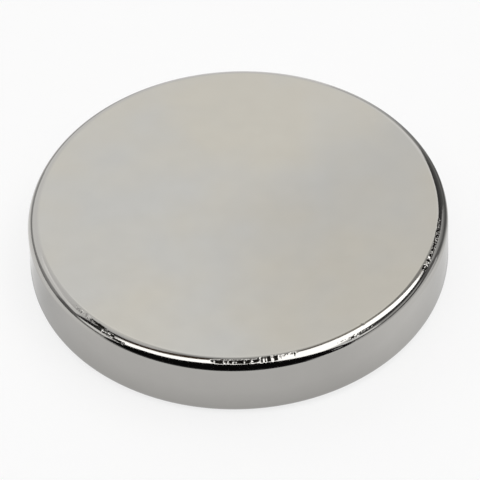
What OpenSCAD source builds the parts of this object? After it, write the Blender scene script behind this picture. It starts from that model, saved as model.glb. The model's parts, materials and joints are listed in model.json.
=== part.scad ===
// Disc magnet: one sintered slug, ground flat on both faces, tumbled until its edges rolled
// over, then plated. The upper edge was chipped and scored before plating, so the plate runs on
// into the hollows. The origin is the centre of the lower face, and +Z is the disc's axis.
// Angles round the disc are measured from the front, -Y, and grow towards the right, +X.
// Tilt is measured up from the straight wall: 0 faces outwards, 90 faces upwards.

/* [Disc] */
// Outside diameter of the disc
disc_d = 30; // [20:0.5:45]
// Thickness between the two flat faces
disc_t = 5; // [3:0.1:10]

/* [Rolled edges] */
// Radius of the roll round the upper face
top_edge_r = 0.9; // [0.7:0.05:1.3]
// Radius of the roll round the lower face
bottom_edge_r = 0.9; // [0.3:0.05:1.3]

/* [Score lines at the front] */
// Angle of the first score line
score_start = -9; // [-15:1:-5]
// Number of score lines
score_count = 21; // [0:1:24]
// Angle from one score line to the next
score_pitch = 1.2; // [1:0.05:1.4]
// Depth of the deepest score line
score_depth = 0.03; // [0.01:0.005:0.05]
// Radius of the round bottom of a score line
score_r = 0.12; // [0.1:0.01:0.2]

/* [Chipped stretch at the left] */
// Angle of the first chip
chip_start = -51; // [-60:1:-46]
// Number of chips
chip_count = 6; // [0:1:7]
// Angle from one chip to the next
chip_pitch = 3.2; // [2.8:0.1:3.6]
// Depth of the deepest chip
chip_depth = 0.06; // [0.02:0.005:0.08]
// Length of each broken face along the edge
chip_w = 1.1; // [0.6:0.1:1.4]
// Lean of each broken face along the edge
chip_lean = 4; // [0:1:6]

/* [Pits at the right] */
// Angle of the first pit
pit_start = 64; // [60:1:70]
// Number of pits
pit_count = 7; // [0:1:8]
// Angle from one pit to the next
pit_pitch = 2.2; // [2:0.1:2.6]
// Depth of the deepest pit
pit_depth = 0.05; // [0.01:0.005:0.07]
// Radius of the round bottom of a pit
pit_r = 0.22; // [0.15:0.01:0.35]

/* [Single nicks] */
// Angle of the nick between the score lines and the pits
nick_angle = 31.5; // [25:0.5:40]
// Depth of that nick
nick_depth = 0.05; // [0.01:0.005:0.07]
// Radius of the round bottom of that nick
nick_r = 0.3; // [0.2:0.01:0.4]

/* [Hidden] */

disc_r = disc_d / 2;
roll_centre_r = disc_r - top_edge_r;
roll_centre_z = disc_t - top_edge_r;

// Tilts at which each kind of damage sits on the upper roll
score_tilt = 62;
chip_tilt = 57;
pit_tilt = 68;
nick_tilt = 50;

// Share of its tilt or depth by which one mark may differ from the next
tilt_spread = 6;
depth_spread = 0.35;
golden_angle = 137.5;

// How far a cutting body reaches past the surface that it cuts
overcut = 0.5;

plating = "#c3bfb4";
steps_round = 180;
steps_small = 32;

// An even but unrepeated value from -1 to 1 for the mark with this number
function scatter(number) = sin(golden_angle * number);

// Depth of the mark with this number, no deeper than the given depth
function mark_depth(deepest, number) = deepest * (1 - depth_spread * (1 + scatter(number)) / 2);

// The part of a square corner that a roll of this radius takes away
module corner_waste(roll_r) {
    difference() {
        square(roll_r + overcut);
        circle(roll_r, $fn = steps_small * 2);
    }
}

// Half of the disc's section, with the axis at x = 0
module half_section() {
    difference() {
        square([disc_r, disc_t]);
        translate([roll_centre_r, roll_centre_z])
            corner_waste(top_edge_r);
        translate([disc_r - bottom_edge_r, bottom_edge_r])
            mirror([0, 1])
                corner_waste(bottom_edge_r);
    }
}

// Puts its children on the upper roll, with their +Z along the roll's outward normal
// and their Y across the edge
module on_roll(angle, tilt) {
    rotate([0, 0, angle])
        translate([0, -roll_centre_r, roll_centre_z])
            rotate([90 - tilt, 0, 0])
                translate([0, 0, top_edge_r])
                    children();
}

// A round-bottomed line drawn across the edge
module score_line(angle, tilt, depth, slant) {
    on_roll(angle, tilt)
        translate([0, 0, score_r - depth])
            rotate([90, 0, slant])
                cylinder(r = score_r, h = top_edge_r * 2, center = true, $fn = steps_small);
}

// A broken face: a flat that leans along the edge
module chip(angle, tilt, depth, lean) {
    on_roll(angle, tilt)
        rotate([0, lean, 0])
            translate([-chip_w / 2, -top_edge_r, -depth])
                cube([chip_w, top_edge_r * 2, overcut]);
}

// A hollow with a ball-shaped floor
module pit(angle, tilt, depth, hollow_r) {
    on_roll(angle, tilt)
        translate([0, 0, hollow_r - depth])
            sphere(hollow_r, $fn = steps_small);
}

module edge_damage() {
    for (i = [0:1:score_count - 1])
        score_line(score_start + i * score_pitch, score_tilt + tilt_spread / 2 * scatter(i),
                   mark_depth(score_depth, i), 12 * scatter(i + 3));
    for (i = [0:1:chip_count - 1])
        chip(chip_start + i * chip_pitch, chip_tilt + tilt_spread * scatter(i),
             mark_depth(chip_depth, i), chip_lean * (i % 2 == 0 ? 1 : -1));
    for (i = [0:1:pit_count - 1])
        pit(pit_start + i * pit_pitch, pit_tilt + tilt_spread * scatter(i),
            mark_depth(pit_depth, i), pit_r);
    pit(nick_angle, nick_tilt, nick_depth, nick_r);
}

module disc_magnet() {
    color(plating)
        difference() {
            rotate_extrude($fn = steps_round)
                half_section();
            edge_damage();
        }
}

disc_magnet();
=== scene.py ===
import json
import math

import bmesh
import bpy
from mathutils import Matrix, Vector


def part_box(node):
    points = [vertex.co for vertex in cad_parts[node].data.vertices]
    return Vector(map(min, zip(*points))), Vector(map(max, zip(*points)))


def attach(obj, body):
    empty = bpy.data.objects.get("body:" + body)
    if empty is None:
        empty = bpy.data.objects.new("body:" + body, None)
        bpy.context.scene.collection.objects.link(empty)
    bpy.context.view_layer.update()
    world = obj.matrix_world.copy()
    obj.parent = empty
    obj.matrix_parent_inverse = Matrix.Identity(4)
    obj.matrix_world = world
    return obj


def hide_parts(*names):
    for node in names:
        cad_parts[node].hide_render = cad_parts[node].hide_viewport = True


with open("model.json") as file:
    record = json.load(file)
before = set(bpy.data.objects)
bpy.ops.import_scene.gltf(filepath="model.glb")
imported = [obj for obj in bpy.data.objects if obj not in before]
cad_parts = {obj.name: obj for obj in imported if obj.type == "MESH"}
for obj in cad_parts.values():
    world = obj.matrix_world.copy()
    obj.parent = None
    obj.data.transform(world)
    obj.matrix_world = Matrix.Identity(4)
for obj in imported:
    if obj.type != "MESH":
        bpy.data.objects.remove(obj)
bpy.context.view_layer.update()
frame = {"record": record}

# The disc's own sizes, in metres, from the frame
boxLow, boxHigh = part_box("disc_magnet")
wallMount = next(m for m in frame["record"]["mounts"] if m["name"] == "outer_wall")
discRadius = wallMount["dims"]["r_mm"] / 1000
discThickness = boxHigh.z - boxLow.z
wallHalf = wallMount["dims"]["length_mm"] / 2000
topRoll = boxHigh.z - wallMount["pos_m"][2] - wallHalf
footRoll = wallMount["pos_m"][2] - wallHalf - boxLow.z


def hexColour(code):
    # sRGB hex to the linear values that the shader sockets take
    channels = [int(code[i:i + 2], 16) / 255 for i in (1, 3, 5)]
    return [c / 12.92 if c <= 0.04045 else ((c + 0.055) / 1.055) ** 2.4 for c in channels] + [1]


def addNode(tree, kind, settings={}, links={}):
    # Settings are the node's own properties; links are socket values, or nodes and sockets to join
    node = tree.nodes.new(kind)
    for name, value in settings.items():
        setattr(node, name, value)
    for key, value in links.items():
        if isinstance(value, bpy.types.Node):
            value = value.outputs[0]
        if isinstance(value, bpy.types.NodeSocket):
            tree.links.new(value, node.inputs[key])
        else:
            node.inputs[key].default_value = value
    return node


def addObject(name, data):
    thing = bpy.data.objects.new(name, data)
    bpy.context.scene.collection.objects.link(thing)
    return thing


camera = {
    "distance": 0.375,     # a long way off for so small a thing: the near edge hardly grows
    "lens": 391.1,         # mm
    "sensor": 36,          # mm
    "clip": (0.01, 20),
    "elevation": 45.86,
    "roll": -2.32,
    "aim": (0.1, 2.12),    # mm to the right of the disc's axis and above its foot
}


def makeCamera(c):
    data = bpy.data.cameras.new("camera")
    data.lens = c["lens"]
    data.sensor_width = c["sensor"]
    data.clip_start, data.clip_end = c["clip"]
    elevation = math.radians(c["elevation"])
    foot = Vector((0, 0, boxLow.z))
    place = foot + Vector((0, -math.cos(elevation), math.sin(elevation))) * c["distance"]
    aim = foot + Vector((c["aim"][0], 0, c["aim"][1])) / 1000
    turn = (place - aim).to_track_quat("Z", "Y").to_matrix().to_4x4()
    roll = Matrix.Rotation(math.radians(c["roll"]), 4, "Z")
    holder = addObject("camera", data)
    holder.matrix_world = Matrix.Translation(place) @ turn @ roll
    bpy.context.scene.camera = holder


makeCamera(camera)
print("camera placed")


slug = {
    "worked": (-57, 85),   # degrees round the front that carry the damage, and so the finest columns
    "workedColumns": 1250,
    "plainColumns": 120,
    "rollRows": 52,
    "footRows": 9,
    "wallRows": 2,
    "faceRows": 1,
    "borderRows": 1,
    "faceBorder": 0.1,     # mm, a narrow ring that keeps the face flat right up to the roll
    "joinWithin": 1e-7,    # metres between the strips' points that become one
}

# Bruises on the rolled edge, each a patch of small facets pressed in at their own lean. Angles
# are degrees round the rim from the front, and tilts degrees up the roll from the wall. Facets
# have a width and a height in mm, slopes are the steepest along and up, and push is the lean
# that a patch's facets share. Depth is in mm, and grime is the share of facets packed with dirt.
knocks = {
    "firstChips": {"angles": (-53.5, -47), "tilts": (60, 76), "facet": (0.24, 0.1),
                   "slopes": (0.25, 0.3), "push": (0, -0.2), "depth": 0.012, "grime": 0.04, "seed": 31},
    "chips": {"angles": (-47.2, -40.5), "tilts": (60, 72.5), "facet": (0.42, 0.065),
              "slopes": (0.15, 0.4), "push": (0, 0), "depth": 0.012, "grime": 0.38, "seed": 11},
    "lastChips": {"angles": (-42, -37.5), "tilts": (46, 60), "facet": (0.34, 0.07),
                  "slopes": (0.2, 0.35), "push": (0, 0), "depth": 0.012, "grime": 0.52, "seed": 23},
    "chipEnd": {"angles": (-38, -34), "tilts": (41, 50), "facet": (0.2, 0.08),
                "slopes": (0.25, 0.3), "push": (0, 0), "depth": 0.008, "grime": 0.5, "seed": 25},
    "scuff": {"angles": (-9, 4.5), "tilts": (52.5, 71), "facet": (0.12, 0.26),
              "slopes": (0.55, 0.5), "push": (0, 0), "depth": 0.02, "grime": 0.72, "seed": 5},
    "scores": {"angles": (3.8, 10.5), "tilts": (51.5, 79), "facet": (0.1, 1.5),
               "slopes": (0.45, 0.1), "push": (0, 0), "depth": 0.015, "grime": 0.58, "seed": 8},
    "lastScores": {"angles": (10, 15.5), "tilts": (56, 76), "facet": (0.1, 1.5),
                   "slopes": (0.35, 0.1), "push": (0, 0), "depth": 0.006, "grime": 0.13, "seed": 9},
    "nickTrail": {"angles": (27, 31), "tilts": (52, 57), "facet": (0.14, 0.07),
                  "slopes": (0.2, 0.3), "push": (0, 0), "depth": 0.006, "grime": 0.35, "seed": 3},
    "nick": {"angles": (30.9, 32), "tilts": (46, 55), "facet": (0.2, 0.3),
             "slopes": (0.15, 0.15), "push": (0, 0), "depth": 0.012, "grime": 0.8, "seed": 4},
    "nickLip": {"angles": (32, 33.4), "tilts": (46, 57), "facet": (0.3, 0.3),
                "slopes": (0.03, 0.03), "push": (0, 0.14), "depth": 0.012, "grime": 0, "seed": 2},
    "smear": {"angles": (33, 39), "tilts": (46, 56), "facet": (0.3, 0.05),
              "slopes": (0.06, 0.12), "push": (0, 0), "depth": 0.004, "grime": 0.3, "seed": 6},
    "pits": {"angles": (63.4, 65.5), "tilts": (58, 80), "facet": (0.24, 0.17),
             "slopes": (0.22, 0.25), "push": (0, 0), "depth": 0.012, "grime": 0.78, "seed": 12},
    "pitWall": {"angles": (65.5, 66.7), "tilts": (61, 71), "facet": (0.6, 0.5),
                "slopes": (0.02, 0.02), "push": (-0.15, 0), "depth": 0.03, "grime": 0, "seed": 7},
    "pitRidge": {"angles": (66.9, 68), "tilts": (60, 80), "facet": (0.2, 0.2),
                 "slopes": (0.2, 0.2), "push": (0, 0), "depth": 0.01, "grime": 0.92, "seed": 19},
    "nextPitWall": {"angles": (68.1, 68.9), "tilts": (67, 78), "facet": (0.5, 0.5),
                    "slopes": (0.02, 0.02), "push": (-0.12, 0), "depth": 0.02, "grime": 0, "seed": 5},
    "lastPits": {"angles": (69, 84), "tilts": (64, 78.5), "facet": (0.24, 0.1),
                 "slopes": (0.16, 0.16), "push": (0, 0), "depth": 0.008, "grime": 0.68, "seed": 14},
}


knockBorder = {
    "wavesPerMm": 2.2,     # how finely a patch's border wanders
    "wander": 2.4,         # and how far
    "squareness": 4,       # the higher, the fuller the patch's corners
    "fade": (1.9, 2.3),    # where the facets end, when 1.2 is about the middle and 2.2 the border
}


def makeSlugTree():
    tree = bpy.data.node_groups.new("rolledSlug", "GeometryNodeTree")
    sockets = tree.interface
    sockets.new_socket("Geometry", in_out="INPUT", socket_type="NodeSocketGeometry")
    for name in ("Radius", "Thickness", "Top Roll", "Foot Roll", "Knocks"):
        sockets.new_socket(name, in_out="INPUT", socket_type="NodeSocketFloat")
    sockets.new_socket("Finish", in_out="INPUT", socket_type="NodeSocketMaterial")
    sockets.new_socket("Geometry", in_out="OUTPUT", socket_type="NodeSocketGeometry")
    given = addNode(tree, "NodeGroupInput").outputs
    radius, thickness = given["Radius"], given["Thickness"]
    topRollR, footRollR = given["Top Roll"], given["Foot Roll"]
    topCentreR = addNode(tree, "ShaderNodeMath", {"operation": "SUBTRACT"}, {0: radius, 1: topRollR})
    topCentreZ = addNode(tree, "ShaderNodeMath", {"operation": "SUBTRACT"}, {0: thickness, 1: topRollR})
    footCentreR = addNode(tree, "ShaderNodeMath", {"operation": "SUBTRACT"}, {0: radius, 1: footRollR})
    columns = slug["workedColumns"] + slug["plainColumns"]
    share = slug["workedColumns"] / columns
    first, last = slug["worked"]
    border = slug["faceBorder"] / 1000
    topBorderR = addNode(tree, "ShaderNodeMath", {"operation": "SUBTRACT"}, {0: topCentreR, 1: border})
    footBorderR = addNode(tree, "ShaderNodeMath", {"operation": "SUBTRACT"}, {0: footCentreR, 1: border})

    def strip(rows, startR, startZ, endR, endZ, roll, startTilt, endTilt):
        # One ring of the section: its roll centre and tilt run from a start to an end
        grid = addNode(tree, "GeometryNodeMeshGrid", {}, {
            "Size X": 1, "Size Y": 1, "Vertices X": columns + 1, "Vertices Y": rows + 1})
        at = addNode(tree, "ShaderNodeSeparateXYZ", {}, {0: addNode(tree, "GeometryNodeInputPosition")})
        u = addNode(tree, "ShaderNodeMath", {"operation": "ADD"}, {0: at.outputs["X"], 1: 0.5})
        v = addNode(tree, "ShaderNodeMath", {"operation": "ADD"}, {0: at.outputs["Y"], 1: 0.5})
        fine = addNode(tree, "ShaderNodeMapRange", {"clamp": False}, {
            "Value": u, "From Min": 0, "From Max": share, "To Min": first, "To Max": last})
        plain = addNode(tree, "ShaderNodeMapRange", {"clamp": False}, {
            "Value": u, "From Min": share, "From Max": 1, "To Min": last, "To Max": first + 360})
        isPlain = addNode(tree, "ShaderNodeMath", {"operation": "GREATER_THAN"}, {0: u, 1: share})
        angle = addNode(tree, "ShaderNodeMix", {"data_type": "FLOAT"}, {0: isPlain, 2: fine, 3: plain})
        tilt = addNode(tree, "ShaderNodeMix", {"data_type": "FLOAT"}, {0: v, 2: startTilt, 3: endTilt})
        centreR = addNode(tree, "ShaderNodeMix", {"data_type": "FLOAT"}, {0: v, 2: startR, 3: endR})
        centreZ = addNode(tree, "ShaderNodeMix", {"data_type": "FLOAT"}, {0: v, 2: startZ, 3: endZ})
        t = addNode(tree, "ShaderNodeMath", {"operation": "RADIANS"}, {0: tilt})
        a = addNode(tree, "ShaderNodeMath", {"operation": "RADIANS"}, {0: angle})
        outward = addNode(tree, "ShaderNodeMath", {"operation": "COSINE"}, {0: t})
        upward = addNode(tree, "ShaderNodeMath", {"operation": "SINE"}, {0: t})
        across = addNode(tree, "ShaderNodeMath", {"operation": "SINE"}, {0: a})
        towards = addNode(tree, "ShaderNodeMath", {"operation": "COSINE"}, {0: a})
        ringR = addNode(tree, "ShaderNodeMath", {"operation": "MULTIPLY_ADD"}, {
            0: outward, 1: roll, 2: centreR})
        ringZ = addNode(tree, "ShaderNodeMath", {"operation": "MULTIPLY_ADD"}, {
            0: upward, 1: roll, 2: centreZ})
        front = addNode(tree, "ShaderNodeMath", {"operation": "MULTIPLY"}, {0: ringR, 1: -1})
        place = addNode(tree, "ShaderNodeCombineXYZ", {}, {
            "X": addNode(tree, "ShaderNodeMath", {"operation": "MULTIPLY"}, {0: across, 1: ringR}),
            "Y": addNode(tree, "ShaderNodeMath", {"operation": "MULTIPLY"}, {0: towards, 1: front}),
            "Z": ringZ})
        marked = grid.outputs["Mesh"]
        for name, value in (("angle", angle), ("tilt", tilt)):
            marked = addNode(tree, "GeometryNodeStoreNamedAttribute", {
                "data_type": "FLOAT", "domain": "POINT"}, {
                "Geometry": marked, "Name": name, "Value": value})
        return addNode(tree, "GeometryNodeSetPosition", {}, {"Geometry": marked, "Position": place})

    # from the middle of the top face over its roll, down the wall and under to the middle again
    strips = [
        strip(slug["faceRows"], 0.0, topCentreZ, topBorderR, topCentreZ, topRollR, 90.0, 90.0),
        strip(slug["borderRows"], topBorderR, topCentreZ, topCentreR, topCentreZ, topRollR, 90.0, 90.0),
        strip(slug["rollRows"], topCentreR, topCentreZ, topCentreR, topCentreZ, topRollR, 90.0, 0.0),
        strip(slug["wallRows"], topCentreR, topCentreZ, topCentreR, footRollR, topRollR, 0.0, 0.0),
        strip(slug["footRows"], footCentreR, footRollR, footCentreR, footRollR, footRollR, 0.0, -90.0),
        strip(slug["borderRows"], footCentreR, footRollR, footBorderR, footRollR, footRollR, -90.0, -90.0),
        strip(slug["faceRows"], footBorderR, footRollR, 0.0, footRollR, footRollR, -90.0, -90.0),
    ]
    joined = addNode(tree, "GeometryNodeJoinGeometry")
    for ring in strips:
        tree.links.new(ring.outputs[0], joined.inputs[0])
    closed = addNode(tree, "GeometryNodeMergeByDistance", {}, {
        "Geometry": joined, "Distance": slug["joinWithin"]})
    sunk = addKnocks(tree, closed, given["Knocks"])
    smooth = addNode(tree, "GeometryNodeSetShadeSmooth", {}, {"Geometry": sunk, "Shade Smooth": True})
    real = addNode(tree, "GeometryNodeRealizeInstances", {}, {0: smooth})
    dressed = addNode(tree, "GeometryNodeSetMaterial", {}, {"Geometry": real, "Material": given["Finish"]})
    addNode(tree, "NodeGroupOutput", {}, {0: dressed})
    return tree


def addKnocks(tree, mesh, strength):
    # Presses every patch of facets into the roll, and marks the facets that hold dirt
    angle = addNode(tree, "GeometryNodeInputNamedAttribute", {"data_type": "FLOAT"}, {"Name": "angle"})
    tilt = addNode(tree, "GeometryNodeInputNamedAttribute", {"data_type": "FLOAT"}, {"Name": "tilt"})
    a = addNode(tree, "ShaderNodeMath", {"operation": "RADIANS"}, {0: angle})
    t = addNode(tree, "ShaderNodeMath", {"operation": "RADIANS"}, {0: tilt})
    # the roll's surface laid flat, in millimetres
    flat = addNode(tree, "ShaderNodeCombineXYZ", {}, {
        "X": addNode(tree, "ShaderNodeMath", {"operation": "MULTIPLY"}, {0: a, 1: discRadius * 1000}),
        "Y": addNode(tree, "ShaderNodeMath", {"operation": "MULTIPLY"}, {0: t, 1: topRoll * 1000})})
    ragged = addNode(tree, "ShaderNodeTexNoise", {}, {
        "Vector": flat, "Scale": knockBorder["wavesPerMm"], "Detail": 2})
    total = 0.0
    allGrime = 0.0
    for k in knocks.values():
        wide, tall = k["facet"]
        alongSlope, upSlope = k["slopes"]
        alongPush, upPush = k["push"]
        shrunk = addNode(tree, "ShaderNodeVectorMath", {"operation": "MULTIPLY_ADD"}, {
            0: flat, 1: (1 / wide, 1 / tall, 1), 2: (k["seed"], k["seed"], 0)})
        facet = addNode(tree, "ShaderNodeTexVoronoi", {"voronoi_dimensions": "2D"}, {
            "Vector": shrunk, "Scale": 1})
        fromMiddle = addNode(tree, "ShaderNodeVectorMath", {"operation": "SUBTRACT"}, {
            0: shrunk, 1: facet.outputs["Position"]})
        lean = addNode(tree, "ShaderNodeVectorMath", {"operation": "MULTIPLY_ADD"}, {
            0: facet.outputs["Color"], 1: (2 * alongSlope * wide, 2 * upSlope * tall, 0),
            2: ((alongPush - alongSlope) * wide, (upPush - upSlope) * tall, 0)})
        slope = addNode(tree, "ShaderNodeVectorMath", {"operation": "DOT_PRODUCT"}, {0: fromMiddle, 1: lean})
        drop = addNode(tree, "ShaderNodeMath", {"operation": "ADD"}, {
            0: slope.outputs["Value"], 1: k["depth"]})
        drop = addNode(tree, "ShaderNodeMath", {"operation": "MAXIMUM"}, {0: drop, 1: 0.0})
        # how far out in the patch, with a border that wanders a little
        away = 0.0
        for value, (low, high) in ((angle, k["angles"]), (tilt, k["tilts"])):
            off = addNode(tree, "ShaderNodeMapRange", {"clamp": False}, {
                "Value": value, "From Min": low, "From Max": high, "To Min": -1, "To Max": 1})
            off = addNode(tree, "ShaderNodeMath", {"operation": "ABSOLUTE"}, {0: off})
            off = addNode(tree, "ShaderNodeMath", {"operation": "POWER"}, {
                0: off, 1: knockBorder["squareness"]})
            away = addNode(tree, "ShaderNodeMath", {"operation": "ADD"}, {0: off, 1: away})
        away = addNode(tree, "ShaderNodeMath", {"operation": "MULTIPLY_ADD"}, {
            0: ragged, 1: knockBorder["wander"], 2: away})
        fadeStart, fadeEnd = knockBorder["fade"]
        inside = addNode(tree, "ShaderNodeMapRange", {"interpolation_type": "SMOOTHSTEP"}, {
            "Value": away, "From Min": fadeStart, "From Max": fadeEnd, "To Min": 1, "To Max": 0})
        total = addNode(tree, "ShaderNodeMath", {"operation": "MULTIPLY_ADD"}, {0: drop, 1: inside, 2: total})
        lot = addNode(tree, "FunctionNodeSeparateColor", {}, {0: facet.outputs["Color"]})
        packed = addNode(tree, "ShaderNodeMath", {"operation": "LESS_THAN"}, {
            0: lot.outputs["Blue"], 1: k["grime"]})
        allGrime = addNode(tree, "ShaderNodeMath", {"operation": "MULTIPLY_ADD"}, {
            0: packed, 1: inside, 2: allGrime})
    allGrime = addNode(tree, "ShaderNodeMath", {"operation": "MINIMUM"}, {0: allGrime, 1: 1})
    mesh = addNode(tree, "GeometryNodeStoreNamedAttribute", {"data_type": "FLOAT", "domain": "POINT"}, {
        "Geometry": mesh, "Name": "grime", "Value": allGrime})
    # the drop is in millimetres, square to the surface
    inward = addNode(tree, "ShaderNodeMath", {"operation": "MULTIPLY"}, {0: total, 1: strength})
    inward = addNode(tree, "ShaderNodeMath", {"operation": "MULTIPLY"}, {0: inward, 1: -0.001})
    outward = addNode(tree, "ShaderNodeMath", {"operation": "COSINE"}, {0: t})
    front = addNode(tree, "ShaderNodeMath", {"operation": "MULTIPLY"}, {0: outward, 1: -1})
    across = addNode(tree, "ShaderNodeMath", {"operation": "SINE"}, {0: a})
    towards = addNode(tree, "ShaderNodeMath", {"operation": "COSINE"}, {0: a})
    facing = addNode(tree, "ShaderNodeCombineXYZ", {}, {
        "X": addNode(tree, "ShaderNodeMath", {"operation": "MULTIPLY"}, {0: across, 1: outward}),
        "Y": addNode(tree, "ShaderNodeMath", {"operation": "MULTIPLY"}, {0: towards, 1: front}),
        "Z": addNode(tree, "ShaderNodeMath", {"operation": "SINE"}, {0: t})})
    move = addNode(tree, "ShaderNodeVectorMath", {"operation": "SCALE"}, {0: facing, "Scale": inward})
    return addNode(tree, "GeometryNodeSetPosition", {}, {"Geometry": mesh, "Offset": move})


nickelPlate = {
    "edgePlateAndShade": "#bcbab6",        # the nickel on the roll and wall, painted darker than the faces as shade
    "paintedRightLight": 1.19,              # painted light: how much brighter the roll and wall are made on their right side
    "paintedRightLightFrom": (0.4, 0.8),    # radii to the right where that sets in and is full
    "warm": "#c9c5bb",          # faint beige film that handling leaves on the faces
    "cool": "#c5c4c0",          # the faces between the film
    "faceFrom": (70, 90),       # degrees up the roll where the faces' look sets in and is full
    "filmSize": 9.0,            # mm
    "filmBlend": (0.35, 0.65),  # levels of the film's noise that are all cool and all warm
    "paintedSideShade": 0.9,            # how much painted shade darkens one side of the face
    "sideShadeFrom": (-0.4, 0.45),   # radii to the right where that sets in and is full
    "sideShadeBackFade": 1.2,            # how fast that painted shade fades towards the far edge
    "mottleSize": 1.6,          # mm
    "mottleBlend": (0.3, 0.7),
    "mottleShade": (0.98, 1.0),  # how bright its darkest and lightest parts are
    "haze": (0.08, 0.11),       # roughness of the plate, which goes with the mottling
    "waviness": 0.5,            # how much fine detail the film and the mottling have
    "grime": "#191714",         # dark polish and dirt packed into the knocks
    "grimeHaze": 0.4,
    "peelSize": 0.9,            # mm between the slight waves of the plate
    "peelDepth": 0.0012,        # mm
    "peelWaviness": 0.4,
    "speckSize": 2.4,           # mm between specks
    "speckReach": (0.02, 0.08),  # their bottom and their rim, as shares of that
    "speckDepth": 5,            # times the depth of the waves
    "speckFilm": 0.52,          # level of the film's noise above which there are specks
}


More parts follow.
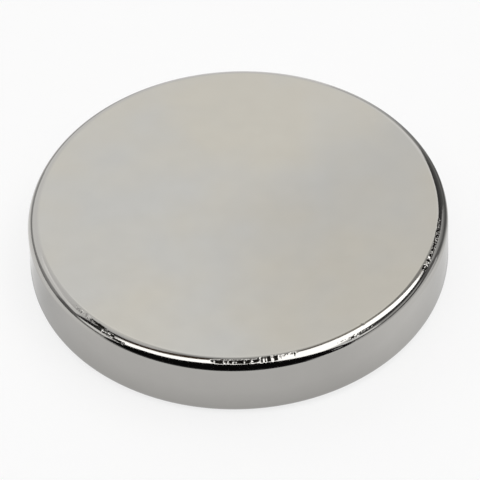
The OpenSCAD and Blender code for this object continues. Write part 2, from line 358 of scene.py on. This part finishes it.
def makeNickel(n):
    # Bright nickel electroplate over a tumbled slug: a mirror with a faint warm and cool film on its
    # faces, slight orange peel, and here and there a speck where the plate took badly. Painted shade
    # darkens one side of the faces and all of the roll and wall; painted light brightens the roll and wall on
    # the right
    mat = bpy.data.materials.new("brightNickelPlate")
    mat.use_nodes = True
    tree = mat.node_tree
    shader = tree.nodes["Principled BSDF"]
    shader.inputs["Metallic"].default_value = 1
    place = addNode(tree, "ShaderNodeTexCoord").outputs["Object"]
    film = addNode(tree, "ShaderNodeTexNoise", {}, {
        "Vector": place, "Scale": 1000 / n["filmSize"], "Detail": 2, "Roughness": n["waviness"]})
    mottle = addNode(tree, "ShaderNodeTexNoise", {}, {
        "Vector": place, "Scale": 1000 / n["mottleSize"], "Detail": 2, "Roughness": n["waviness"]})
    allCool, allWarm = n["filmBlend"]
    warmth = addNode(tree, "ShaderNodeMapRange", {}, {
        "Value": film, "From Min": allCool, "From Max": allWarm})
    filmed = addNode(tree, "ShaderNodeMix", {"data_type": "RGBA"}, {
        "Factor": warmth, 6: hexColour(n["cool"]), 7: hexColour(n["warm"])})
    # painted shade: the face is made darker towards its right side, and less so towards its far edge
    across = addNode(tree, "ShaderNodeSeparateXYZ", {}, {0: place})
    back = addNode(tree, "ShaderNodeMath", {"operation": "MAXIMUM"}, {0: across.outputs["Y"], 1: 0})
    towardsSide = addNode(tree, "ShaderNodeMath", {"operation": "MULTIPLY_ADD"}, {
        0: back, 1: -n["sideShadeBackFade"], 2: across.outputs["X"]})
    sideStart, sideFull = n["sideShadeFrom"]
    side = addNode(tree, "ShaderNodeMapRange", {"interpolation_type": "SMOOTHSTEP"}, {
        "Value": towardsSide, "From Min": sideStart * discRadius, "From Max": sideFull * discRadius,
        "To Min": 1, "To Max": n["paintedSideShade"]})
    sideShaded = addNode(tree, "ShaderNodeMix", {"data_type": "RGBA", "blend_type": "MULTIPLY"}, {
        "Factor": 1, 6: filmed.outputs[2], 7: side})
    # the roll and the wall take a plate painted darker than the faces as shade, with painted light towards
    # their right side
    tilt = addNode(tree, "ShaderNodeAttribute", {"attribute_name": "tilt"})
    flatness = addNode(tree, "ShaderNodeMath", {"operation": "ABSOLUTE"}, {0: tilt.outputs["Fac"]})
    faceStart, faceFull = n["faceFrom"]
    onFace = addNode(tree, "ShaderNodeMapRange", {"interpolation_type": "SMOOTHSTEP"}, {
        "Value": flatness, "From Min": faceStart, "From Max": faceFull})
    # painted light: the roll and wall grow brighter towards their right side
    rightLightStart, rightLightFull = n["paintedRightLightFrom"]
    paintedRightLight = addNode(tree, "ShaderNodeMapRange", {"interpolation_type": "SMOOTHSTEP"}, {
        "Value": across.outputs["X"], "From Min": rightLightStart * discRadius,
        "From Max": rightLightFull * discRadius, "To Min": 1, "To Max": n["paintedRightLight"]})
    shadedEdgePlate = addNode(tree, "ShaderNodeMix", {"data_type": "RGBA", "blend_type": "MULTIPLY"}, {
        "Factor": 1, 6: hexColour(n["edgePlateAndShade"]), 7: paintedRightLight})
    plate = addNode(tree, "ShaderNodeMix", {"data_type": "RGBA"}, {
        "Factor": onFace, 6: shadedEdgePlate.outputs[2], 7: sideShaded.outputs[2]})
    mottleLow, mottleHigh = n["mottleBlend"]
    darkest, lightest = n["mottleShade"]
    shade = addNode(tree, "ShaderNodeMapRange", {}, {
        "Value": mottle, "From Min": mottleLow, "From Max": mottleHigh,
        "To Min": darkest, "To Max": lightest})
    mottled = addNode(tree, "ShaderNodeMix", {"data_type": "RGBA", "blend_type": "MULTIPLY"}, {
        "Factor": 1, 6: plate.outputs[2], 7: shade})
    grime = addNode(tree, "ShaderNodeAttribute", {"attribute_name": "grime"})
    worn = addNode(tree, "ShaderNodeMix", {"data_type": "RGBA"}, {
        "Factor": grime.outputs["Fac"], 6: mottled.outputs[2], 7: hexColour(n["grime"])})
    tree.links.new(worn.outputs[2], shader.inputs["Base Color"])
    clearest, haziest = n["haze"]
    haze = addNode(tree, "ShaderNodeMapRange", {}, {
        "Value": mottle, "From Min": mottleLow, "From Max": mottleHigh,
        "To Min": clearest, "To Max": haziest})
    dull = addNode(tree, "ShaderNodeMix", {"data_type": "FLOAT"}, {
        0: grime.outputs["Fac"], 2: haze, 3: n["grimeHaze"]})
    tree.links.new(dull.outputs[0], shader.inputs["Roughness"])
    peel = addNode(tree, "ShaderNodeTexNoise", {}, {
        "Vector": place, "Scale": 1000 / n["peelSize"], "Detail": 1, "Roughness": n["peelWaviness"]})
    specks = addNode(tree, "ShaderNodeTexVoronoi", {}, {"Vector": place, "Scale": 1000 / n["speckSize"]})
    bottom, rim = n["speckReach"]
    dip = addNode(tree, "ShaderNodeMapRange", {"interpolation_type": "SMOOTHSTEP"}, {
        "Value": specks.outputs["Distance"], "From Min": bottom, "From Max": rim,
        "To Min": -1, "To Max": 0})
    few = addNode(tree, "ShaderNodeMath", {"operation": "GREATER_THAN"}, {0: film, 1: n["speckFilm"]})
    dip = addNode(tree, "ShaderNodeMath", {"operation": "MULTIPLY"}, {0: dip, 1: few})
    height = addNode(tree, "ShaderNodeMath", {"operation": "MULTIPLY_ADD"}, {
        0: dip, 1: n["speckDepth"], 2: peel})
    bump = addNode(tree, "ShaderNodeBump", {}, {
        "Strength": 1, "Distance": n["peelDepth"] / 1000, "Height": height})
    tree.links.new(bump.outputs["Normal"], shader.inputs["Normal"])
    return mat


def bakeNodes(tree, inputs):
    # Runs the tree on an empty mesh and keeps only the plain mesh that it makes
    carrier = addObject("carrier", bpy.data.meshes.new("carrier"))
    modifier = carrier.modifiers.new("nodes", "NODES")
    modifier.node_group = tree
    sockets = {s.name: s.identifier for s in tree.interface.items_tree if s.in_out == "INPUT"}
    for name, value in inputs.items():
        modifier[sockets[name]] = value
    bpy.context.view_layer.update()
    ready = carrier.evaluated_get(bpy.context.evaluated_depsgraph_get())
    mesh = bpy.data.meshes.new_from_object(ready)
    bpy.data.objects.remove(carrier)
    return mesh


nickel = makeNickel(nickelPlate)
slugMesh = bakeNodes(makeSlugTree(), {
    "Radius": discRadius, "Thickness": discThickness, "Top Roll": topRoll, "Foot Roll": footRoll,
    "Knocks": 1.0, "Finish": nickel})
bm = bmesh.new()
bm.from_mesh(slugMesh)
bmesh.ops.recalc_face_normals(bm, faces=bm.faces)
openEdges = sum(1 for e in bm.edges if len(e.link_faces) != 2)
bm.to_mesh(slugMesh)
bm.free()
magnet = addObject("plated_slug", slugMesh)
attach(magnet, "root")
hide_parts("disc_magnet")
print("slug:", len(slugMesh.polygons), "faces,", openEdges, "open edges")


studio = {
    "floor": 30,             # metres from the middle to an edge
    "floorColour": "#fdfdfd",
    "floorRoughness": 0.9,
    "liftSeen": 0.78,        # how far the floor is lifted to plain white for the eye
    "liftMirrored": 0.6,     # and for what mirrors it
    "bareFloor": 0.93,       # how bright the metal then mirrors it, clear of the disc's shadow
    "surround": 0.95,        # brightness of the white room all round
    "surroundColour": "#ffffff",
    "cardDistance": 1.5,     # metres from the disc to the card that stands farthest off
    "cardGap": 0.03,         # each card stands this much nearer than the one before it
    "cardColumns": 5,        # from one station of a card to the next
    "cardRows": 12,
    "sheetHeight": 0.00004,  # metres from the floor to the lowest sheet
    "sheetGap": 0.00001,     # each sheet lies this much higher than the one before it
    "sheetStep": 3,          # degrees round, at most, from one line of a sheet's points to the next
}

# Cards over the top: degrees to the side, then front and back edge in degrees from the
# camera-side horizon over the top; then the brightness of those two edges, and a tint if any
overCards = {
    "backShade": ([(-45, 84, 132), (50, 84, 132)], (0.4, 1.08)),
    "rimShade": ([(-32, 117, 130), (-22, 118, 132), (-12, 120, 132), (-7, 122, 132)], (0.8, 0.86)),
    "darkGap": ([(-34, 70, 92), (-24, 70, 96), (-16, 70, 98), (-9, 70, 104), (-3, 70, 102), (4, 80, 99)],
                (0.2, 0.03), "#ffd7ae"),
    "greyGap": ([(3.5, 88, 114), (5, 90, 124), (7, 91, 126), (13, 96, 128), (22, 112, 128),
                 (30, 114, 125)], (0.01, 0.6), "#fff8ee"),
    "midShade": ([(-9, 104, 129), (-3, 102, 129), (1, 98, 129), (4, 97, 129),
                  (6.5, 99, 129)], (0.19, 1.08)),
    "rightShade": ([(7, 122, 131), (9, 120, 131), (14, 119.5, 131), (24, 119, 131)], (0.2, 0.45)),
    "leftStreak": ([(-53, 103, 106), (-48.5, 105, 109), (-44, 114, 118.5), (-37, 124, 128),
                    (-31, 129, 132)], (1.3, 1.3)),
    "softbox": ([(-49, 56, 62), (-43, 54, 74), (-38, 47, 78), (-32, 51, 81), (-24, 48, 82), (-19, 54, 82),
                 (0, 54, 89), (12, 52.5, 98), (17, 48, 114.5), (23, 45, 116.3), (28, 44, 118.7),
                 (33, 45, 118.8), (35.5, 84, 118), (39, 91, 117), (42, 99, 115), (44, 105, 112)],
                (2.15, 2.15)),
    "softboxFoot": ([(26, 43, 70), (31, 45, 71), (34.5, 47, 70), (36.5, 52, 66)], (2.15, 2.15)),
}

# Cards round the horizon: degrees round from the camera side, then lower and upper edge in
# degrees above the floor; then the brightness of those two edges
roundCards = {
    "opening": ([(-68, -1, 14), (-62, -1, 29), (-56, -1, 42), (-29, -1, 55), (0, -1, 60),
                 (20, -1, 52), (38, -1, 39), (45, -1, 33), (51, 1, 24), (54, 6, 19)], (0.004, 0.004)),
    "bounceCard": ([(42.9, 13.5, 16.5), (47.2, 13.5, 16.5)], (0.85, 0.85)),
    "rightWall": ([(54, 0, 37), (70, 0, 38), (110, 0, 34)], (0.62, 0.32)),
    "rightRail": ([(53, 9, 16), (62, 12, 18), (84, 13.5, 21), (108, 13, 23)], (0.04, 0.04)),
    "rightGlint": ([(50, 23.5, 29), (57, 22.5, 29), (64, 21, 28), (70, 20, 25)], (1.3, 1.3)),
    "rightFlag": ([(60, 36, 40), (66, 34.5, 45), (73, 33.5, 51), (80, 33, 52.5), (87, 33, 50.5),
                   (95, 32, 46.5), (103, 30, 45.5), (113, 29, 42), (121, 33, 41), (127, 33, 41.5),
                   (130, 24, 42), (134, 17, 43), (140, 16, 44.5), (147, 20, 45), (151, 21, 40),
                   (155, 22, 33)], (0.045, 0.045)),
    "farRight": ([(112, -1, 28), (117, -1, 33), (123, -1, 33), (129, -1, 26), (134, -1, 21)],
                 (0.12, 0.52)),
    "farPost": ([(103, 13, 31), (107, 10, 31), (112, 4, 29), (116, 0, 17), (119, 0, 8)], (0.13, 0.13)),
    "farGap": ([(134, -1, 31), (153, -1, 27)], (0.13, 0.05)),
    "farFade": ([(153, -1, 20), (158.5, -1, 18)], (0.2, 0.55)),
    "farEnd": ([(158.5, -1, 18), (170, -1, 12)], (0.42, 0.6)),
    "leftRail": ([(-68, 1, 14), (-86, 1, 14)], (0.26, 0.26)),
    "leftGlint": ([(-86, 17, 20), (-80, 15, 26), (-74, 16, 27), (-66, 19, 26)], (1.1, 1.1)),
    "leftGap": ([(-108, 59, 63), (-98, 52, 66.5), (-93, 43, 64), (-88, 21, 60), (-84, 21, 48),
                 (-80, 29, 44), (-76, 29, 38), (-64, 27, 36)], (0.02, 0.02)),
    "leftPost": ([(-85, 1, 23), (-92, 1, 25), (-99, 1, 25)], (0.11, 0.2)),
    "leftWall": ([(-99, 1, 26), (-112, 0, 24), (-126, -1, 15), (-136, -1, 9), (-150, -1, 5)],
                 (0.24, 0.45)),
}

# Sheets that lie on the floor and are seen only by the metal: distances from the disc's axis in
# mm, then degrees round with the brightness at each distance, or None for bare floor
floorSheets = {
    "nearSheet": ((24, 46, 1400), [
        (-90, None), (-77, (0.92, 0.92, 0.93)), (-64, (0.85, 0.85, 0.9)), (-49, (0.79, 0.79, 0.86)),
        (27, (0.77, 0.79, 0.86)), (49, (0.78, 0.78, 0.82)), (84, (0.76, 0.77, 0.8)),
        (94, (0.8, 0.82, 0.85)), (104, (0.88, 0.9, 0.93)), (122, None)]),
    "frontSheet": ((46, 50, 1400), [
        (-70, (0.87, 0.87, 0.91)), (-62, (0.86, 0.5, 0.4)), (-54, (0.82, 0.12, 0.06)),
        (-14, (0.8, 0.03, 0.02)), (26, (0.79, 0.03, 0.02)), (34, (0.79, 0.79, 0.84))]),
    "leftSheet": ((20, 24, 30, 60, 1400), [
        (-118, None), (-127, (0.9, 0.72, 0.5, 0.42, 0.45)), (-158, (0.9, 0.72, 0.5, 0.42, 0.45)),
        (-172, None)]),
    "wallSheet": ((15.2, 16, 17, 18, 20, 24), [
        (-168, None), (-150, (0.85, 0.85, 0.85, 0.85, 0.87, 0.9)),
        (-112, (0.95, 0.95, 0.95, 0.95, 0.96, 0.95)), (-99, (1.02, 1.03, 1.05, 1.04, 1, 0.95)),
        (-88, (0.71, 0.71, 0.73, 0.76, 0.84, 0.93)), (-76, (0.6, 0.62, 0.64, 0.68, 0.77, 0.91)),
        (-64, (0.6, 0.66, 0.72, 0.76, 0.8, 0.85)), (-49, (0.6, 0.67, 0.74, 0.77, 0.78, 0.79)),
        (66, (0.6, 0.67, 0.73, 0.75, 0.76, 0.77)), (78, (0.66, 0.67, 0.69, 0.71, 0.74, 0.76)),
        (88, (0.7, 0.7, 0.71, 0.72, 0.75, 0.78)), (99, (0.72, 0.72, 0.72, 0.74, 0.8, 0.85)),
        (122, None)]),
    "darkSheet": ((18, 20.6, 23.5, 30, 1400), [
        (91, (0.72, 0.75, 0.77, 0.75, 0.66)), (99, (0.72, 0.62, 0.5, 0.48, 0.45)),
        (105, (0.66, 0.42, 0.24, 0.2, 0.2)), (114, (0.58, 0.32, 0.17, 0.1, 0.07)),
        (121, (0.17, 0.09, 0.09, 0.1, 0.1)), (126, (0.17, 0.1, 0.11, 0.13, 0.15)),
        (131, (0.48, 0.36, 0.28, 0.2, 0.22)), (141, (0.7, 0.52, 0.34, 0.18, 0.18)),
        (150, (0.82, 0.7, 0.5, 0.3, 0.15)), (162, None)]),
    "footSheet": ((13.4, 15.2), [(-95, None), (-92, (0.5, 0.6)), (97, (0.5, 0.6)), (100, None)]),
}


def makeGlow():
    # Glowing card, as bright at each point as its mesh says: it gives the metal something to mirror
    mat = bpy.data.materials.new("cardGlow")
    mat.use_nodes = True
    tree = mat.node_tree
    tree.nodes.clear()
    glow = addNode(tree, "ShaderNodeAttribute", {"attribute_name": "glow"})
    lamp = addNode(tree, "ShaderNodeEmission", {}, {"Color": glow.outputs["Color"]})
    addNode(tree, "ShaderNodeOutputMaterial", {}, {"Surface": lamp})
    return mat


cardGlow = makeGlow()


def addCard(name, grid, levels, tint="#ffffff"):
    # A glowing card through a grid of points, with a brightness for each; the camera never sees it
    rows = len(grid[0])
    faces = [(i * rows + j, i * rows + j + 1, i * rows + rows + j + 1, i * rows + rows + j)
             for i in range(len(grid) - 1) for j in range(rows - 1)]
    mesh = bpy.data.meshes.new(name)
    mesh.from_pydata([v for column in grid for v in column], [], faces)
    red, green, blue, full = hexColour(tint)
    colours = [c for level in levels for c in (red * level, green * level, blue * level, full)]
    mesh.attributes.new("glow", "FLOAT_COLOR", "POINT").data.foreach_set("color", colours)
    mesh.materials.append(cardGlow)
    card = addObject(name, mesh)
    card.visible_camera = False
    return card


def makeCard(name, overTop, distance, stations, levels, tint="#ffffff"):
    # Straight from station to station in degrees, and even from one edge's brightness to the other's
    across, rows = studio["cardColumns"], studio["cardRows"]
    columns = []
    for (a0, low0, high0), (a1, low1, high1) in zip(stations, stations[1:]):
        for i in range(across):
            s = i / across
            columns.append((a0 + (a1 - a0) * s, low0 + (low1 - low0) * s, high0 + (high1 - high0) * s))
    columns.append(stations[-1])
    grid, glow = [], []
    for side, low, high in columns:
        points = []
        for j in range(rows + 1):
            s = j / rows
            a, b = math.radians(side), math.radians(low + (high - low) * s)
            if overTop:
                way = Vector((math.sin(a), -math.cos(a) * math.cos(b), math.cos(a) * math.sin(b)))
            else:
                way = Vector((math.sin(a) * math.cos(b), -math.cos(a) * math.cos(b), math.sin(b)))
            points.append(way * distance)
            glow.append(levels[0] + (levels[1] - levels[0]) * s)
        grid.append(points)
    addCard(name, grid, glow, tint)


def makeSheet(name, height, radii, stations):
    # A ring of light and shade on the floor, which only the mirror picks up
    stations = [(a, levels or [studio["bareFloor"]] * len(radii)) for a, levels in stations]
    spokes = [stations[0]]
    for (a0, levels0), (a1, levels1) in zip(stations, stations[1:]):
        steps = math.ceil(abs(a1 - a0) / studio["sheetStep"])
        for i in range(1, steps + 1):
            s = i / steps
            spokes.append((a0 + (a1 - a0) * s, [u + (v - u) * s for u, v in zip(levels0, levels1)]))
    grid = []
    for angle, levels in spokes:
        way = Vector((math.sin(math.radians(angle)), -math.cos(math.radians(angle)), 0))
        grid.append([way * (r / 1000) + Vector((0, 0, boxLow.z + height)) for r in radii])
    sheet = addCard(name, grid, [level for angle, levels in spokes for level in levels])
    sheet.visible_diffuse = False
    sheet.visible_shadow = False


def makeFloor():
    # Matt white board: it takes the disc's soft shadow, and what the eye and the metal see of it is
    # lifted part of the way to plain white
    mat = bpy.data.materials.new("paleFloor")
    mat.use_nodes = True
    tree = mat.node_tree
    matt = tree.nodes["Principled BSDF"]
    matt.inputs["Base Color"].default_value = hexColour(studio["floorColour"])
    matt.inputs["Roughness"].default_value = studio["floorRoughness"]
    matt.inputs["Specular IOR Level"].default_value = 0
    ray = addNode(tree, "ShaderNodeLightPath").outputs
    mirrored = addNode(tree, "ShaderNodeMath", {"operation": "MAXIMUM"}, {
        0: ray["Is Glossy Ray"], 1: ray["Is Transmission Ray"]})
    mirrored = addNode(tree, "ShaderNodeMath", {"operation": "MULTIPLY"}, {
        0: mirrored, 1: studio["liftMirrored"]})
    lift = addNode(tree, "ShaderNodeMix", {"data_type": "FLOAT"}, {
        0: ray["Is Camera Ray"], 2: mirrored, 3: studio["liftSeen"]})
    white = addNode(tree, "ShaderNodeEmission", {}, {"Strength": 1})
    lifted = addNode(tree, "ShaderNodeMixShader", {}, {0: lift, 1: matt, 2: white})
    tree.links.new(lifted.outputs[0], tree.nodes["Material Output"].inputs["Surface"])
    mesh = bpy.data.meshes.new("floor")
    half = studio["floor"]
    corners = [(x * half, y * half, boxLow.z) for x, y in ((-1, -1), (1, -1), (1, 1), (-1, 1))]
    mesh.from_pydata(corners, [], [(0, 1, 2, 3)])
    mesh.materials.append(mat)
    addObject("floor", mesh)


def makeSurround():
    # What the metal mirrors between the cards
    world = bpy.data.worlds.new("surround")
    world.use_nodes = True
    background = world.node_tree.nodes["Background"]
    background.inputs["Color"].default_value = hexColour(studio["surroundColour"])
    background.inputs["Strength"].default_value = studio["surround"]
    bpy.context.scene.world = world


makeFloor()
distance = studio["cardDistance"]
for overTop, cards in ((True, overCards), (False, roundCards)):
    for name, card in cards.items():
        makeCard(name, overTop, distance, *card)
        distance -= studio["cardGap"]
height = studio["sheetHeight"]
for name, sheet in floorSheets.items():
    makeSheet(name, height, *sheet)
    height += studio["sheetGap"]
makeSurround()
bpy.context.scene.view_settings.view_transform = "Standard"
print("studio lit")
